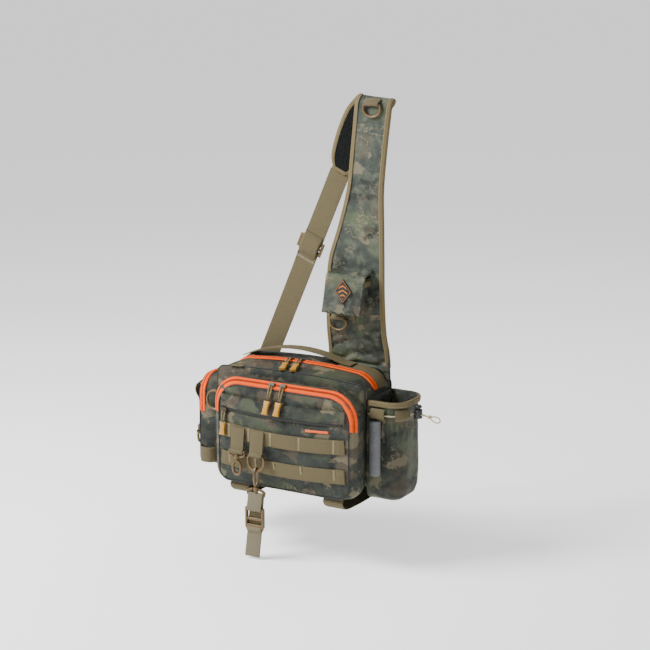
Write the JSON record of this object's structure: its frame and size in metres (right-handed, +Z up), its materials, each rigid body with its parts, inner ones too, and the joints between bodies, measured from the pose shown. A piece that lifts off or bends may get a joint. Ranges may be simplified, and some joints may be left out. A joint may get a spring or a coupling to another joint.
{
  "type": "fishing tackle sling bag",
  "caption": "Camouflage sling tackle bag: padded shoulder strap, zipped main, front and side pockets, drawcord bottle pocket, hooks, rings and under-slings.",
  "frame": {"origin": "underside of the shoulder strap's top fold, where a hook or a shoulder carries the bag", "axes": "+Z up, +X to the wearer's left as seen from the front, -Y out of the front pocket"},
  "size_m": [0.4715, 0.1872, 0.7778],
  "materials": {
    "cloth": "printed woven polyester, dark grey-green with soft brown and tan blotches",
    "zip_tape": "ribbed coil zip tape",
    "webbing": "ribbed nylon webbing",
    "moulded": "satin moulded",
    "sleeve": "stretch knit",
    "lock": "satin moulded",
    "cord": "braided",
    "slider": "dull metal",
    "pull": "moulded grip on cord"
  },
  "bodies": {
    "bag": {"main_compartment": "cloth", "front_compartment": "cloth", "side_pocket": "cloth", "bottle_pocket": "cloth", "strap_pad": "cloth", "strap_pouch": "cloth", "pouch_flap": "cloth", "slot_flap": "cloth", "main_zip": "zip_tape", "front_zip": "zip_tape", "side_zip": "zip_tape", "molle_row_lower": "webbing", "molle_row_upper": "webbing", "hanger_left": "webbing", "hanger_right": "webbing", "carry_handle": "webbing", "handle_wing_left": "webbing", "handle_wing_right": "webbing", "bottom_loop_left": "webbing", "bottom_loop_right": "webbing", "strap_webbing": "webbing", "rod_loop": "webbing", "side_webbing": "webbing", "side_ring_tab": "webbing", "strap_ring_upper_tab": "webbing", "strap_ring_lower_tab": "webbing", "bottle_binding": "webbing", "cord_tunnel_1": "webbing", "cord_tunnel_2": "webbing", "cord_tunnel_3": "webbing", "pouch_side_tab": "webbing", "pouch_lower_tab": "webbing", "tri_glide": "moulded", "tool_sleeve": "sleeve", "cord_lock_barrel": "lock", "pouch_badge": "lock", "drawcord": "cord", "zip_slider_1": "slider", "zip_slider_2": "slider", "zip_slider_3": "slider", "zip_slider_4": "slider", "zip_slider_5": "slider", "zip_pull_1": "pull", "zip_pull_2": "pull", "zip_pull_3": "pull", "zip_pull_4": "pull", "zip_pull_5": "pull"},
    "hook_left_base": {"hook_left_base": "moulded"},
    "hook_left": {"hook_left": "moulded"},
    "front_ring": {"front_ring": "moulded"},
    "hook_right": {"hook_right": "moulded"},
    "ladder_piece": {"hook_right_base": "moulded", "ladder_strap": "webbing", "ladder_lock": "moulded", "ladder_tail": "webbing"},
    "side_ring": {"side_ring": "moulded"},
    "side_webbing_ring": {"side_webbing_ring": "moulded"},
    "strap_ring_upper": {"strap_ring_upper": "moulded"},
    "strap_ring_lower": {"strap_ring_lower": "moulded"},
    "cord_lock_plunger": {"cord_lock_plunger": "lock"}
  },
  "joints": [
    {"name": "hook_left_swing", "type": "hinge", "parent": "bag", "child": "hook_left_base", "pos_m": [-0.18, -0.15837, -0.589], "axis": [1, 0, 0], "range_deg": [-80, 3]},
    {"name": "hook_left_swivel", "type": "hinge", "parent": "hook_left_base", "child": "hook_left", "pos_m": [-0.18, -0.15837, -0.589], "axis": [0, 0, 1], "continuous": true},
    {"name": "front_ring_swing", "type": "hinge", "parent": "bag", "child": "front_ring", "pos_m": [-0.14, -0.16119, -0.589], "axis": [1, 0, 0], "range_deg": [-80, 3]},
    {"name": "hook_right_tilt", "type": "hinge", "parent": "front_ring", "child": "hook_right", "pos_m": [-0.14, -0.16119, -0.6168], "axis": [1, 0, 0], "range_deg": [-70, 5]},
    {"name": "ladder_swivel", "type": "hinge", "parent": "hook_right", "child": "ladder_piece", "pos_m": [-0.14, -0.16119, -0.6168], "axis": [0, 0, 1], "continuous": true},
    {"name": "side_ring_swing", "type": "hinge", "parent": "bag", "child": "side_ring", "pos_m": [-0.2589, -0.09245, -0.526], "axis": [0, 0, 1], "range_deg": [0, 110]},
    {"name": "side_webbing_ring_swing", "type": "hinge", "parent": "bag", "child": "side_webbing_ring", "pos_m": [-0.31439, -0.06663, -0.593], "axis": [0.258, -0.9661, 0], "range_deg": [-80, 0]},
    {"name": "strap_ring_upper_swing", "type": "hinge", "parent": "bag", "child": "strap_ring_upper", "pos_m": [0.002, -0.02098, -0.004], "axis": [1, 0, 0], "range_deg": [-80, 0]},
    {"name": "strap_ring_lower_swing", "type": "hinge", "parent": "bag", "child": "strap_ring_lower", "pos_m": [-0.061, -0.02043, -0.37], "axis": [1, 0, 0], "range_deg": [-80, 0]},
    {"name": "cord_lock_press", "type": "slide", "parent": "bag", "child": "cord_lock_plunger", "axis": [0, 0, 1], "range_m": [-0.0025, 0], "stiffness_N_per_m": 300, "springref_m": 0.001}
  ]
}
